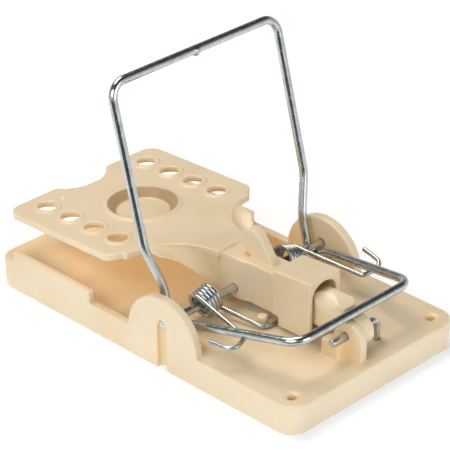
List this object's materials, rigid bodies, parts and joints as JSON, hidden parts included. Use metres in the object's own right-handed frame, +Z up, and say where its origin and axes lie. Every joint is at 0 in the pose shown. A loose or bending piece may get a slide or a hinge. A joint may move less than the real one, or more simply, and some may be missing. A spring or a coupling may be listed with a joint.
{
  "type": "snap mouse trap",
  "caption": "Moulded plastic snap mouse trap: sprung wire kill bar with a setting bail, tilting trip pedal with bait cup, and a pivoting latch on a hollow base.",
  "frame": {"origin": "centre of the base's footprint, on the ground", "axes": "+X towards the latch end with the nail holes, +Y to the trap's left seen from that end's rear (across its width), +Z up"},
  "size_m": [0.108, 0.061, 0.0732],
  "materials": {
    "base_plastic": "satin moulded ABS, cream",
    "pedal_plastic": "satin moulded ABS, cream",
    "latch_plastic": "satin moulded ABS, cream",
    "plated_wire": "bright zinc-plated wire",
    "spring_wire": "bright spring wire"
  },
  "bodies": {
    "base_body": {"base": "base_plastic", "axle": "plated_wire", "latch_pin": "plated_wire", "spring_left": "spring_wire", "spring_right": "spring_wire"},
    "kill_bar_body": {"kill_bar": "plated_wire"},
    "pedal_body": {"trip_pedal": "pedal_plastic"},
    "latch_body": {"latch": "latch_plastic"}
  },
  "joints": [
    {"name": "kill_bar_swing", "type": "hinge", "parent": "base_body", "child": "kill_bar_body", "pos_m": [0.009, 0, 0.0128], "axis": [0, -1, 0], "range_deg": [0, 65], "deforming": ["spring_left", "spring_right"]},
    {"name": "pedal_tilt", "type": "hinge", "parent": "base_body", "child": "pedal_body", "pos_m": [0.009, 0, 0.0128], "axis": [0, -1, 0], "range_deg": [0, 6]},
    {"name": "latch_tip", "type": "hinge", "parent": "base_body", "child": "latch_body", "pos_m": [0.0457, 0, 0.0135], "axis": [0, -1, 0], "range_deg": [0, 9.6]}
  ],
  "couplings": [
    {"joint": "latch_tip", "follows": "pedal_tilt", "ratio": 1.6}
  ]
}
